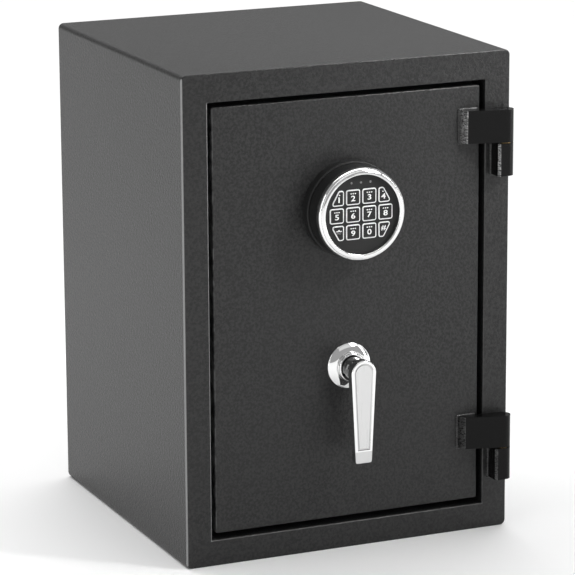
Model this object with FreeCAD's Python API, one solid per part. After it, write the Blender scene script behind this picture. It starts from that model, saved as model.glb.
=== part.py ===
import FreeCAD, Part
import math
import os

# Fire-resistant security safe with a hinged door, a round electronic keypad and a lever handle.
# Millimetres.  +X is the viewer's right (the hinge side), the door faces -Y, +Z is up.
# The origin is the centre of the body's base.  "Depth" is measured from the body's front
# face towards the back, so a negative depth stands proud of the front.

os.makedirs("parts", exist_ok=True)

# ---- driving dimensions: body -------------------------------------------------------------
WIDTH = 312.0
DEPTH = 305.0
HEIGHT = 438.0
HALF = WIDTH / 2
FRONT = -DEPTH / 2  # Y of depth 0
SHEET = 2.0
CORNER_R = 5.0
EDGE_R = 1.2

OPEN_HALF = 132.0  # door opening in the front frame
OPEN_LOW, OPEN_HIGH = 23.5, 412.5
JAMB_BACK = 27.5
LEDGE_HALF = 124.0  # clear opening behind the jamb, and the liner's inside
LEDGE_LOW, LEDGE_HIGH = 31.5, 404.5
LINER_BACK = 273.0
LINER_SHEET = 1.2
FILL_GAP = 0.3  # between the cast filling and the sheets round it

ANCHOR_X, ANCHOR_Y = 90.0, 80.0  # floor anchor holes, each side of the centre
ANCHOR_R = 6.0
ANCHOR_SLEEVE_R = 8.0

MAT_T = 3.0
MAT_FRONT = 50.0
SHELF_Z = 215.0
SHELF_DEPTHS = (80.0, 268.0)
SHELF_LIP = 12.0
SHELF_SHEET = 1.2
BRACKET_INSET = 30.0  # from the shelf's ends to the middle of a bracket
BRACKET_LEG, BRACKET_ARM, BRACKET_WIDTH = 16.0, 13.0, 20.0

# ---- driving dimensions: door -------------------------------------------------------------
DOOR_HALF = 127.5
DOOR_LOW, DOOR_HIGH = 28.8, 408.0
DOOR_FACE = 2.0  # the door sits this far behind the body's front face
DOOR_CORNER_R = 2.0
PAN_BACK = 19.0
PLUG_HALF = 114.0
PLUG_LOW, PLUG_HIGH = 41.0, 395.0
PLUG_SHEET = 1.5
PLUG_BACK = 60.5
RIM_WIDTH = 12.0
COVER_T = 1.5
COVER_SCREW_INSET = 6.0
COVER_SCREW_R, COVER_HEAD_R, COVER_HEAD_T = 2.0, 3.8, 2.2
COVER_SCREW_LENGTH = 6.0
RECESS_HALF, RECESS_WIDTH, RECESS_DEPTH = 2.2, 0.9, 1.2  # cross recess in a screw head
PLATE_FRONT, PLATE_BACK = 27.0, 29.5  # lock mounting plate
DOOR_FILL_GAP = 0.2
SEAL_INSET, SEAL_WIDTH = 1.2, 6.0
SLEEVE_R = 9.0  # inside of the sleeve round the spindle
CABLE_HOLE_R = 6.0

# ---- driving dimensions: hinges -----------------------------------------------------------
HINGE_X, HINGE_DEPTH = 147.5, -8.3
HINGE_R = 7.5
HINGE_HALF_LENGTH = 29.2
HINGE_GAP = 0.9
HINGE_SPLITS = (77.5, 357.0)  # height where the two halves of each hinge meet
HINGE_PIN_R = 3.5
PIN_IN_LEAF = 22.0
WASHER_R = 5.2
WASHER_T = HINGE_GAP - 0.1
LEAF_LEFT = 107.5
LEAF_STEP = 127.0  # the leaf's foot on the door ends here
LEAF_NOSE = (111.5, -6.3)  # x and depth of the front corner at the leaf's left end
SOCKET_LEFT = 138.0
SOCKET_BEVEL = 1.8
RUNNING_FIT = 0.05

# ---- driving dimensions: bolt work --------------------------------------------------------
BOLT_HEIGHTS = (98.0, 218.0, 338.0)
BOLT_R = 10.0
BOLT_DEPTH = 44.5
BOLT_TIP, BOLT_TAIL = -117.0, -50.0
BOLT_THROW = 22.0
BOLT_BEVEL = 1.5
BUSH_R = BOLT_R + 2.0
BOLT_SCREW_R = 2.5
BOLT_SCREW_BACK = 41.5
DEAD_BOLT_R = 7.0
DEAD_BOLT_DEPTH = 44.0
DEAD_BOLT_TIP = 135.0
DEAD_BOLT_COLLAR = 4.5
POCKET_R = BOLT_R + 1.5
POCKET_END = -142.0
SWING_R = 9.0
SWING_DEPTHS = (39.0, 44.5)  # the hinge-side bolts swing, so their pockets are long
SWING_END = 139.0
CARRIAGE_FRONT, CARRIAGE_BACK = 31.5, 35.5
BAR_LEFT, BAR_RIGHT = -88.0, -48.0
BAR_LOW, BAR_HIGH = 80.0, 356.0
ARM_RIGHT = 36.0
ARM_LOW, ARM_HIGH = 176.0, 211.0
NOTCH_HALF = 6.8
NOTCH_FLOOR = 202.5
GUIDE_R = 3.0
GUIDE_CLEAR = 0.4
GUIDE_SLACK = 1.2  # extra slot length at each end of the stroke
GUIDE_PLACES = ((-79.0, 140.0), (-79.0, 296.0), (-34.0, 192.0))  # shoulder screws (x, z)

# ---- driving dimensions: handle -----------------------------------------------------------
HANDLE_Z = 167.6
SPINDLE_R = 6.5
SPINDLE_HOLE_R = SPINDLE_R + 1.5
NECK_R = 10.4
ROSETTE_R = 20.7
ROSETTE_BORE_R = NECK_R + 0.5
ROSETTE_GROOVE_R = 13.2
ROSETTE_FRONT = -8.0
LEVER_BACK, LEVER_FRONT = -24.0, -31.5
LEVER_HEAD_R = 11.8
LEVER_TIP_HALF = 7.8
LEVER_TIP_Z = HANDLE_Z - 81.5
TIP_BEND_Z = HANDLE_Z - 70.5  # the front face turns back towards the door below this
TIP_BEND_ANGLE = 16.0
GROOVE_INSET, GROOVE_WIDTH, GROOVE_DEPTH = 2.5, 1.6, 0.9
LEVER_CORNER_R, LEVER_RIM_R = 2.0, 1.0
PANEL_DROP = 0.35  # the panel inside the groove lies this far below the lever's border
CRANK_BACK = 40.0
CRANK_REACH = BOLT_THROW / math.sqrt(2)  # a quarter turn throws the bolts by BOLT_THROW
CRANK_SIDE = CRANK_REACH / math.sqrt(2)  # the crank's pin is this far across and up at rest
CRANK_HUB_R = 10.0
CRANK_PIN_R = 3.0
CRANK_SLOT_HALF = CRANK_PIN_R + 0.9
CRANK_WASHER_R, CRANK_WASHER_T = 9.0, 1.5
CRANK_SCREW_R, CRANK_SCREW_HEAD_R = 2.5, 4.5
CRANK_SCREW_LENGTH = 11.0

# ---- driving dimensions: lock -------------------------------------------------------------
LOCK_HALF = 30.5
LOCK_LOW, LOCK_HIGH = 213.0, 298.0
LOCK_BACK = 54.0
LOCK_WALL = 3.0
LOCK_COVER_T = 2.0
LOCK_CORNER_R = 2.5
LOCK_SCREW_X, LOCK_SCREW_Z = 20.6, 33.35
LOCK_SCREW_R = 3.0
LOCK_BOSS_R = 5.2
TONGUE_HALF, TONGUE_DEPTHS = 6.0, (32.0, 38.0)
TONGUE_CLEAR = 0.3
COIL_HALF, COIL_DEPTHS, COIL_HEIGHTS = 9.0, (33.0, 51.0), (262.0, 290.0)
PLUNGER_R, PLUNGER_LOW, PLUNGER_DEPTH = 2.5, 249.0, 42.0
CABLE_R = 1.8
CABLE_Z = 313.5
CABLE_BEND_R = 14.0
CABLE_LOCK_DEPTH = 44.0

# ---- driving dimensions: keypad -----------------------------------------------------------
KEYPAD_Z = 309.3
KEYPAD_R = 41.2
KEYPAD_HOLLOW_R = KEYPAD_R - 3.5
FACE_R = 35.2
FACE_DEPTH = -24.8
FLANGE_FRONT = -23.2
HOUSING_FRONT = -22.0
BASE_FRONT = -7.0
BEZEL_FRONT = -29.4
KEY_PITCH = 15.4
KEY_HALF = 6.7
KEY_CORNER_R = 2.1
KEY_FRONT = -25.6
KEY_CLEAR = 0.3
CORNER_KEY_FOOT, CORNER_KEY_TOP = -5.7, 1.8  # ends of a corner key's slanted side
KEYPAD_SCREW_X = 31.0
KEYPAD_SCREW_R = 2.0
KEYPAD_SCREW_HEAD_R = 3.5
BOARD_DEPTH = -17.4
BOARD_T = 1.6
DOME_R, DOME_T = 3.6, 1.4
LED_SPACING = 9.0
LED_RISE = 27.8
LED_TUBE_R = 1.0
LED_BODY_R = 1.6

KEY_NAMES = (
    ("key_1", "key_2", "key_3", "key_4"),
    ("key_5", "key_6", "key_7", "key_8"),
    ("key_star", "key_9", "key_0", "key_hash"),
)

nodes = {}


# ---- helpers ------------------------------------------------------------------------------
def vec(x, depth, z):
    return FreeCAD.Vector(x, FRONT + depth, z)


def block(x, depth, z):
    """Box from (low, high) pairs; the middle pair is a depth range."""
    return Part.makeBox(x[1] - x[0], depth[1] - depth[0], z[1] - z[0], vec(x[0], depth[0], z[0]))


def frame_block(half, depth, z):
    """Box centred on X = 0."""
    return block((-half, half), depth, z)


def rod_y(r, depth, x, z):
    return Part.makeCylinder(r, depth[1] - depth[0], vec(x, depth[0], z), FreeCAD.Vector(0, 1, 0))


def rod_x(r, x, depth, z):
    return Part.makeCylinder(r, x[1] - x[0], vec(x[0], depth, z), FreeCAD.Vector(1, 0, 0))


def rod_z(r, z, x, depth):
    return Part.makeCylinder(r, z[1] - z[0], vec(x, depth, z[0]))


def tube_y(r_out, r_in, depth, x, z):
    return rod_y(r_out, depth, x, z).cut(rod_y(r_in, (depth[0] - 1, depth[1] + 1), x, z))


def edges_along(shape, axis):
    """Straight edges parallel to axis 0, 1 or 2."""
    found = []
    for edge in shape.Edges:
        box = edge.BoundBox
        spans = (box.XLength, box.YLength, box.ZLength)
        others = [spans[i] for i in range(3) if i != axis]
        if spans[axis] > 0.5 and max(others) < 1e-3:
            found.append(edge)
    return found


def edges_at_depth(shape, depth):
    y = FRONT + depth
    return [e for e in shape.Edges if abs(e.BoundBox.YMin - y) < 1e-3 and abs(e.BoundBox.YMax - y) < 1e-3]


def round_box(x, depth, z, r, axis=1):
    """Box with the four edges along one axis rounded."""
    shape = block(x, depth, z)
    return shape.makeFillet(r, edges_along(shape, axis))


def fuse(shapes):
    result = shapes[0]
    for shape in shapes[1:]:
        result = result.fuse(shape)
    return result.removeSplitter()


def prism(points, depth):
    """Solid from an outline of (x, z) points, drawn through a depth range."""
    loop = [vec(x, depth[0], z) for x, z in points]
    face = Part.Face(Part.makePolygon(loop + [loop[0]]))
    return face.extrude(FreeCAD.Vector(0, depth[1] - depth[0], 0))


def revolve_y(profile, z):
    """Solid of revolution about the line x = 0 at height z along Y.

    The profile is a loop of (radius, depth) points.  Where an entry is two such points, the
    outline reaches the second of them by an arc through the first.
    """
    edges = []
    here = vec(profile[-1][0], profile[-1][1], z)
    for entry in profile:
        if isinstance(entry[0], tuple):
            middle, end = [vec(r, d, z) for r, d in entry]
            edges.append(Part.Arc(here, middle, end).toShape())
        else:
            end = vec(entry[0], entry[1], z)
            edges.append(Part.LineSegment(here, end).toShape())
        here = end
    face = Part.Face(Part.Wire(edges))
    return face.revolve(vec(0, 0, z), FreeCAD.Vector(0, 1, 0), 360)


def cross_recess(x, depth, z):
    """Cutter for a cross recess that ends at the given depth."""
    span = (depth - RECESS_DEPTH, depth + 1)
    reach, width = RECESS_HALF, RECESS_WIDTH / 2
    level = block((x - reach, x + reach), span, (z - width, z + width))
    upright = block((x - width, x + width), span, (z - reach, z + reach))
    return fuse([level, upright])


def slot_along_x(x, r, depth, z):
    """Stadium hole whose end centres are at the two x values."""
    ends = [rod_y(r, depth, value, z) for value in x]
    return fuse([block(x, depth, (z - r, z + r))] + ends)


def slot_along_depth(x, r, depth, z):
    """Stadium prism along X whose end centres are at the two depths."""
    ends = [rod_x(r, x, value, z) for value in depth]
    return fuse([block(x, depth, (z - r, z + r))] + ends)


def put(name, *shapes):
    nodes[name] = list(shapes)


# ---- body ---------------------------------------------------------------------------------
def anchor_places():
    for x in (-ANCHOR_X, ANCHOR_X):
        for y in (-ANCHOR_Y, ANCHOR_Y):
            yield x, y - FRONT


def bore_anchors(shape, r, z):
    for x, depth in anchor_places():
        shape = shape.cut(rod_z(r, z, x, depth))
    return shape


def make_casing():
    """One sheet folded round the base, sides and top, and a flat back panel welded to its end."""
    back_depth = DEPTH - SHEET
    outer = round_box((-HALF, HALF), (SHEET, back_depth), (0, HEIGHT), CORNER_R)
    inner = round_box(
        (-HALF + SHEET, HALF - SHEET),
        (0, DEPTH),
        (SHEET, HEIGHT - SHEET),
        CORNER_R - SHEET,
    )
    wrap = bore_anchors(outer.cut(inner), ANCHOR_R, (-1, SHEET + 1))
    back = round_box((-HALF, HALF), (back_depth, DEPTH), (0, HEIGHT), CORNER_R)
    back = back.makeFillet(EDGE_R, edges_at_depth(back, DEPTH))
    put("outer_casing", wrap, back)


def make_front_frame():
    """Front plate, the walls of the door opening behind it, and the ledge that stops the door."""
    walls = (SHEET, JAMB_BACK)
    opening = frame_block(OPEN_HALF, (-1, DEPTH), (OPEN_LOW, OPEN_HIGH))
    plate = round_box((-HALF, HALF), (0, SHEET), (0, HEIGHT), CORNER_R).cut(opening)
    plate = plate.makeFillet(EDGE_R, edges_at_depth(plate, 0))
    jamb = frame_block(OPEN_HALF + SHEET, walls, (OPEN_LOW - SHEET, OPEN_HIGH + SHEET))
    ledge = frame_block(OPEN_HALF, (JAMB_BACK - SHEET, JAMB_BACK), (OPEN_LOW, OPEN_HIGH))
    clear = frame_block(LEDGE_HALF, (0, DEPTH), (LEDGE_LOW, LEDGE_HIGH))
    put("front_frame", plate, jamb.cut(opening), ledge.cut(clear))


def make_liner():
    """Five flat sheets, spot-welded along their edges."""
    t = LINER_SHEET
    run = (JAMB_BACK, LINER_BACK + t)
    tall = (LEDGE_LOW, LEDGE_HIGH)
    floor = frame_block(LEDGE_HALF + t, run, (LEDGE_LOW - t, LEDGE_LOW))
    roof = frame_block(LEDGE_HALF + t, run, (LEDGE_HIGH, LEDGE_HIGH + t))
    left = block((-LEDGE_HALF - t, -LEDGE_HALF), run, tall)
    right = block((LEDGE_HALF, LEDGE_HALF + t), run, tall)
    rear = frame_block(LEDGE_HALF, (LINER_BACK, LINER_BACK + t), tall)
    for z in BOLT_HEIGHTS:
        left = left.cut(rod_x(POCKET_R, (-LEDGE_HALF - t - 1, -LEDGE_HALF + 1), BOLT_DEPTH, z))
        right = right.cut(
            slot_along_depth((LEDGE_HALF - 1, LEDGE_HALF + t + 1), SWING_R, SWING_DEPTHS, z)
        )
    floor = bore_anchors(floor, ANCHOR_R, (LEDGE_LOW - t - 1, LEDGE_LOW + 1))
    put("inner_liner", floor, roof, left, right, rear)


def make_pockets():
    t = LINER_SHEET
    wall = LEDGE_HALF + t
    cups = []
    for z in BOLT_HEIGHTS:
        cup = rod_x(POCKET_R + t, (POCKET_END, -wall), BOLT_DEPTH, z)
        cups.append(cup.cut(rod_x(POCKET_R, (POCKET_END + t, -wall + 1), BOLT_DEPTH, z)))
        cup = slot_along_depth((wall, SWING_END), SWING_R + t, SWING_DEPTHS, z)
        hollow = slot_along_depth((wall - 1, SWING_END - t), SWING_R, SWING_DEPTHS, z)
        cups.append(cup.cut(hollow))
    put("bolt_pockets", *cups)


def make_fill():
    gap = FILL_GAP
    skin = SHEET + gap
    t = LINER_SHEET + gap
    fill = round_box(
        (-HALF + skin, HALF - skin), (skin, DEPTH - skin), (skin, HEIGHT - skin), CORNER_R
    )
    jamb = frame_block(
        OPEN_HALF + skin, (0, JAMB_BACK + gap), (OPEN_LOW - skin, OPEN_HIGH + skin)
    )
    liner = frame_block(LEDGE_HALF + t, (0, LINER_BACK + t), (LEDGE_LOW - t, LEDGE_HIGH + t))
    fill = fill.cut(jamb).cut(liner)
    for z in BOLT_HEIGHTS:
        fill = fill.cut(rod_x(POCKET_R + t, (POCKET_END - gap, 0), BOLT_DEPTH, z))
        fill = fill.cut(slot_along_depth((0, SWING_END + gap), SWING_R + t, SWING_DEPTHS, z))
    put("insulation_fill", bore_anchors(fill, ANCHOR_SLEEVE_R + gap, (0, LEDGE_LOW)))


def make_anchor_sleeves():
    z = (SHEET, LEDGE_LOW - LINER_SHEET)
    sleeves = []
    for x, depth in anchor_places():
        sleeves.append(rod_z(ANCHOR_SLEEVE_R, z, x, depth).cut(rod_z(ANCHOR_R, z, x, depth)))
    put("anchor_sleeves", *sleeves)


def make_inside():
    top = LEDGE_LOW + MAT_T
    mat = frame_block(LEDGE_HALF - 2, (MAT_FRONT, LINER_BACK - 2), (LEDGE_LOW, top))
    put("floor_mat", bore_anchors(mat, 2 * ANCHOR_R, (LEDGE_LOW - 1, top + 1)))

    t = SHELF_SHEET
    half = LEDGE_HALF - 1.5
    tray = frame_block(half, SHELF_DEPTHS, (SHELF_Z, SHELF_Z + t))
    front, back = SHELF_DEPTHS
    front_lip = frame_block(half, (front, front + t), (SHELF_Z - SHELF_LIP, SHELF_Z))
    back_lip = frame_block(half, (back - t, back), (SHELF_Z - SHELF_LIP, SHELF_Z))
    put("shelf", fuse([tray, front_lip, back_lip]))

    brackets = []
    for side in (-1, 1):
        for depth in (front + BRACKET_INSET, back - BRACKET_INSET):
            width = (depth - BRACKET_WIDTH / 2, depth + BRACKET_WIDTH / 2)
            wall_x = sorted((side * LEDGE_HALF, side * (LEDGE_HALF - t)))
            arm_x = sorted((side * LEDGE_HALF, side * (LEDGE_HALF - BRACKET_ARM)))
            leg = block(wall_x, width, (SHELF_Z - BRACKET_LEG, SHELF_Z))
            arm = block(arm_x, width, (SHELF_Z - t, SHELF_Z))
            brackets.append(fuse([leg, arm]))
    put("shelf_brackets", *brackets)


# ---- hinges -------------------------------------------------------------------------------
def socket_body(z):
    """Block on the body's front with a flat face running into the barrel."""
    flat = block((SOCKET_LEFT, HINGE_X), (HINGE_DEPTH - HINGE_R, 0), z)
    return fuse([flat, rod_z(HINGE_R, z, HINGE_X, HINGE_DEPTH)])


def leaf_body(z):
    """Foot on the door and a wedge that thickens from its left end until it meets the barrel."""
    clear = HINGE_DEPTH + HINGE_R
    across, rise = HINGE_X - LEAF_NOSE[0], LEAF_NOSE[1] - HINGE_DEPTH
    slope = math.atan2(rise, across) + math.asin(HINGE_R / math.hypot(across, rise))
    touch = (HINGE_X - HINGE_R * math.sin(slope), HINGE_DEPTH - HINGE_R * math.cos(slope))
    plan = [
        (LEAF_LEFT, DOOR_FACE),
        (LEAF_STEP, DOOR_FACE),
        (LEAF_STEP, clear),
        (HINGE_X, clear),
        touch,
        LEAF_NOSE,
    ]
    loop = [vec(x, depth, z[0]) for x, depth in plan]
    face = Part.Face(Part.makePolygon(loop + [loop[0]]))
    wedge = face.extrude(FreeCAD.Vector(0, 0, z[1] - z[0]))
    return fuse([wedge, rod_z(HINGE_R, z, HINGE_X, HINGE_DEPTH)])


def is_socket_corner(edge):
    box = edge.BoundBox
    front = FRONT + HINGE_DEPTH - HINGE_R
    return abs(box.XMin - SOCKET_LEFT) < 1e-3 and abs(box.YMin - front) < 1e-3


def make_hinges():
    sockets = []
    leaves = []
    pins = []
    washers = []
    for split in HINGE_SPLITS:
        low = (split - HINGE_HALF_LENGTH, split)
        high = (split + HINGE_GAP, split + HINGE_GAP + HINGE_HALF_LENGTH)

        socket = socket_body(low)
        corner = [e for e in edges_along(socket, 2) if is_socket_corner(e)]
        socket = socket.makeChamfer(SOCKET_BEVEL, corner)
        socket = socket.cut(rod_z(HINGE_PIN_R, (low[0] - 1, low[1] + 1), HINGE_X, HINGE_DEPTH))
        sockets.append(socket)

        bore_z = (high[0] - 1, high[0] + PIN_IN_LEAF + 1)
        bore = rod_z(HINGE_PIN_R + RUNNING_FIT, bore_z, HINGE_X, HINGE_DEPTH)
        leaves.append(leaf_body(high).cut(bore))

        pins.append(rod_z(HINGE_PIN_R, (low[0], high[0] + PIN_IN_LEAF), HINGE_X, HINGE_DEPTH))
        washer = rod_z(WASHER_R, (split, split + WASHER_T), HINGE_X, HINGE_DEPTH)
        bore = rod_z(HINGE_PIN_R, (split - 1, split + 2), HINGE_X, HINGE_DEPTH)
        washers.append(washer.cut(bore))
    put("hinge_sockets", *sockets)
    put("hinge_leaves", *leaves)
    put("hinge_pins", *pins)
    put("hinge_washers", *washers)


# ---- door ---------------------------------------------------------------------------------
def plug_block(inset, depth):
    """Block that fills the door's inner box, drawn in by inset on every side."""
    return frame_block(PLUG_HALF - inset, depth, (PLUG_LOW + inset, PLUG_HIGH - inset))


def cover_screw_places():
    half = PLUG_HALF - COVER_SCREW_INSET
    low, high = PLUG_LOW + COVER_SCREW_INSET, PLUG_HIGH - COVER_SCREW_INSET
    for step in range(4):
        for x in (-half, half):
            yield x, low + (high - low) * step / 3
    for z in (low, high):
        yield 0.0, z


def make_door_shell():
    skin = round_box(
        (-DOOR_HALF, DOOR_HALF), (DOOR_FACE, PAN_BACK), (DOOR_LOW, DOOR_HIGH), DOOR_CORNER_R
    )
    skin = skin.makeFillet(EDGE_R, edges_at_depth(skin, DOOR_FACE))
    hollow = frame_block(
        DOOR_HALF - SHEET,
        (DOOR_FACE + SHEET, PAN_BACK - SHEET),
        (DOOR_LOW + SHEET, DOOR_HIGH - SHEET),
    )
    skin = skin.cut(hollow).cut(plug_block(0, (PAN_BACK - SHEET - 1, PAN_BACK + 1)))
    through = (DOOR_FACE - 1, DOOR_FACE + SHEET + 1)
    skin = skin.cut(rod_y(SPINDLE_HOLE_R, through, 0, HANDLE_Z))
    skin = skin.cut(rod_y(CABLE_HOLE_R, through, 0, CABLE_Z))
    for x in (-KEYPAD_SCREW_X, KEYPAD_SCREW_X):
        skin = skin.cut(rod_y(KEYPAD_SCREW_R, through, x, KEYPAD_Z))
    put("door_skin", skin)

    rim_front = PLUG_BACK - PLUG_SHEET
    walls = plug_block(0, (PAN_BACK - SHEET, rim_front)).cut(plug_block(PLUG_SHEET, (0, DEPTH)))
    rim = plug_block(0, (rim_front, PLUG_BACK)).cut(plug_block(RIM_WIDTH, (0, DEPTH)))
    for z in BOLT_HEIGHTS:
        walls = walls.cut(rod_x(BUSH_R, (-PLUG_HALF - 1, -PLUG_HALF + 3), BOLT_DEPTH, z))
        walls = walls.cut(rod_x(DEAD_BOLT_R, (PLUG_HALF - 3, PLUG_HALF + 1), DEAD_BOLT_DEPTH, z))
    cover = plug_block(0, (PLUG_BACK, PLUG_BACK + COVER_T))
    cover = cover.makeFillet(3.0, edges_along(cover, 1))
    screws = []
    for x, z in cover_screw_places():
        hole = rod_y(COVER_SCREW_R + 0.1, (PLUG_BACK - 3, PLUG_BACK + 3), x, z)
        rim = rim.cut(hole)
        cover = cover.cut(hole)
        seat = PLUG_BACK + COVER_T
        crown = seat + COVER_HEAD_T
        head = rod_y(COVER_HEAD_R, (seat, crown), x, z)
        head = head.makeFillet(1.2, edges_at_depth(head, crown))
        head = head.cut(cross_recess(x, crown, z))
        shank = rod_y(COVER_SCREW_R, (seat - COVER_SCREW_LENGTH, seat), x, z)
        screws.append(fuse([head, shank]))
    put("door_plug", walls, rim)
    put("door_back_cover", cover)
    put("back_cover_screws", *screws)


def make_door_filling():
    gap = DOOR_FILL_GAP
    front = frame_block(
        DOOR_HALF - SHEET - gap,
        (DOOR_FACE + SHEET + gap, PAN_BACK - SHEET - gap),
        (DOOR_LOW + SHEET + gap, DOOR_HIGH - SHEET - gap),
    )
    rear = plug_block(PLUG_SHEET + gap, (PAN_BACK - SHEET - gap, PLATE_FRONT - gap))
    filling = fuse([front, rear])
    filling = filling.cut(rod_y(SLEEVE_R + 2 + gap, (0, PLATE_FRONT), 0, HANDLE_Z))
    filling = filling.cut(rod_y(CABLE_HOLE_R + 1 + gap, (0, PLATE_FRONT), 0, CABLE_Z))
    for x in (-KEYPAD_SCREW_X, KEYPAD_SCREW_X):
        filling = filling.cut(rod_y(KEYPAD_SCREW_R + 1, (0, 10), x, KEYPAD_Z))
    put("door_insulation", filling)

    inside = (DOOR_FACE + SHEET, PLATE_FRONT)
    cable_sleeve = tube_y(CABLE_HOLE_R + 1, CABLE_HOLE_R - 1, inside, 0, CABLE_Z)
    sleeve_span = (DOOR_FACE + SHEET + 1.5, PLATE_FRONT)
    spindle_sleeve = tube_y(SLEEVE_R + 1, SLEEVE_R, sleeve_span, 0, HANDLE_Z)
    put("door_sleeves", cable_sleeve, spindle_sleeve)

    plate = plug_block(PLUG_SHEET, (PLATE_FRONT, PLATE_BACK))
    through = (PLATE_FRONT - 1, PLATE_BACK + 1)
    plate = plate.cut(rod_y(SPINDLE_HOLE_R, through, 0, HANDLE_Z))
    plate = plate.cut(rod_y(CABLE_HOLE_R - 1, through, 0, CABLE_Z))
    for x, z in lock_screw_places():
        plate = plate.cut(rod_y(LOCK_SCREW_R, through, x, z))
    for x, z in GUIDE_PLACES:
        plate = plate.cut(rod_y(GUIDE_R - 1, through, x, z))
    put("lock_mount_plate", plate)


def make_seal():
    """Soft seal on the door pan's rim; it closes against the ledge of the jamb."""
    depth = (PAN_BACK, JAMB_BACK - SHEET - 0.4)
    rings = []
    for inset in (SEAL_INSET, SEAL_INSET + SEAL_WIDTH):
        rings.append(frame_block(DOOR_HALF - inset, depth, (DOOR_LOW + inset, DOOR_HIGH - inset)))
    put("door_seal", rings[0].cut(rings[1]))


# ---- bolt work ----------------------------------------------------------------------------
def lock_screw_places():
    middle = (LOCK_LOW + LOCK_HIGH) / 2
    for x in (-LOCK_SCREW_X, LOCK_SCREW_X):
        for z in (middle - LOCK_SCREW_Z, middle + LOCK_SCREW_Z):
            yield x, z


def make_bolts():
    screw_x = (BAR_LEFT + BAR_RIGHT) / 2
    bolts = []
    screws = []
    bushes = []
    dead_bolts = []
    flat = block((BAR_LEFT - 3, BOLT_TAIL + 1), (0, CARRIAGE_BACK), (0, HEIGHT))
    for z in BOLT_HEIGHTS:
        bolt = rod_x(BOLT_R, (BOLT_TIP, BOLT_TAIL), BOLT_DEPTH, z)
        tip = [e for e in bolt.Edges if e.BoundBox.XMax < BOLT_TIP + 0.01]
        bolt = bolt.makeChamfer(BOLT_BEVEL, tip)
        hole = rod_y(BOLT_SCREW_R, (0, BOLT_SCREW_BACK + 0.5), screw_x, z)
        bolts.append(bolt.cut(flat).cut(hole))
        screws.append(rod_y(BOLT_SCREW_R - 0.05, (CARRIAGE_FRONT, BOLT_SCREW_BACK), screw_x, z))

        inside = -PLUG_HALF + PLUG_SHEET
        bush = rod_x(BUSH_R, (-PLUG_HALF, inside + 1.5), BOLT_DEPTH, z)
        flange = rod_x(BUSH_R + 2, (inside, inside + 1.5), BOLT_DEPTH, z)
        bore = rod_x(BOLT_R + 0.3, (-PLUG_HALF - 1, inside + 3), BOLT_DEPTH, z)
        bushes.append(fuse([bush, flange]).cut(bore))

        wall = PLUG_HALF - PLUG_SHEET
        root = wall - DEAD_BOLT_COLLAR
        stud = rod_x(DEAD_BOLT_R, (root, DEAD_BOLT_TIP), DEAD_BOLT_DEPTH, z)
        tip = [e for e in stud.Edges if e.BoundBox.XMin > DEAD_BOLT_TIP - 0.1]
        stud = stud.makeChamfer(BOLT_BEVEL, tip)
        collar = rod_x(DEAD_BOLT_R + 3, (root, wall), DEAD_BOLT_DEPTH, z)
        dead_bolts.append(fuse([stud, collar]))
    put("locking_bolts", *bolts)
    put("bolt_fixing_screws", *screws)
    put("bolt_bushes", *bushes)
    put("hinge_side_bolts", *dead_bolts)


def make_carriage():
    """Flat bar that carries the bolts; the crank's pin drives it along its three slots."""
    plate = (CARRIAGE_FRONT, CARRIAGE_BACK)
    carriage = fuse(
        [
            block((BAR_LEFT, BAR_RIGHT), plate, (BAR_LOW, BAR_HIGH)),
            block((BAR_RIGHT, ARM_RIGHT), plate, (ARM_LOW, ARM_HIGH)),
        ]
    )
    deep = (CARRIAGE_FRONT - 1, CARRIAGE_BACK + 1)
    for notch_x in (0, BOLT_THROW):
        notch = block((notch_x - NOTCH_HALF, notch_x + NOTCH_HALF), deep, (NOTCH_FLOOR, HEIGHT))
        carriage = carriage.cut(notch)
    fork_top = HANDLE_Z + CRANK_REACH + CRANK_PIN_R + 0.8
    fork = (CRANK_SIDE - CRANK_SLOT_HALF, CRANK_SIDE + CRANK_SLOT_HALF)
    carriage = carriage.cut(block(fork, deep, (0, fork_top)))
    for x, z in GUIDE_PLACES:
        ends = (x - GUIDE_SLACK, x + BOLT_THROW + GUIDE_SLACK)
        carriage = carriage.cut(slot_along_x(ends, GUIDE_R + GUIDE_CLEAR, deep, z))
    for z in BOLT_HEIGHTS:
        carriage = carriage.cut(rod_y(BOLT_SCREW_R, deep, (BAR_LEFT + BAR_RIGHT) / 2, z))
    put("bolt_carriage", carriage)

    guides = []
    under_head = CARRIAGE_BACK + 0.4
    for x, z in GUIDE_PLACES:
        thread = rod_y(GUIDE_R - 1, (PLATE_FRONT, PLATE_BACK), x, z)
        shoulder = rod_y(GUIDE_R, (PLATE_BACK, under_head), x, z)
        spacer = rod_y(GUIDE_R + 2, (PLATE_BACK, CARRIAGE_FRONT - 0.3), x, z)
        head = rod_y(GUIDE_R + 2.5, (under_head, under_head + 3), x, z)
        guides.append(fuse([thread, shoulder, spacer, head]))
    put("carriage_guide_screws", *guides)


# ---- handle -------------------------------------------------------------------------------
def lever_outline(inset, tip_z):
    """Closed wire of the lever seen from the front: a round head with straight tapered sides."""
    drop = HANDLE_Z - LEVER_TIP_Z
    taper = math.asin((LEVER_HEAD_R - LEVER_TIP_HALF) / drop)
    r = LEVER_HEAD_R - inset
    side = (r * math.cos(taper), HANDLE_Z - r * math.sin(taper))
    tip = side[0] - (side[1] - tip_z) * math.tan(taper)
    right = vec(side[0], LEVER_FRONT, side[1])
    left = vec(-side[0], LEVER_FRONT, side[1])
    top = vec(0, LEVER_FRONT, HANDLE_Z + r)
    tip_right = vec(tip, LEVER_FRONT, tip_z)
    tip_left = vec(-tip, LEVER_FRONT, tip_z)
    return Part.Wire(
        [
            Part.Arc(right, top, left).toShape(),
            Part.LineSegment(left, tip_left).toShape(),
            Part.LineSegment(tip_left, tip_right).toShape(),
            Part.LineSegment(tip_right, right).toShape(),
        ]
    )


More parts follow.
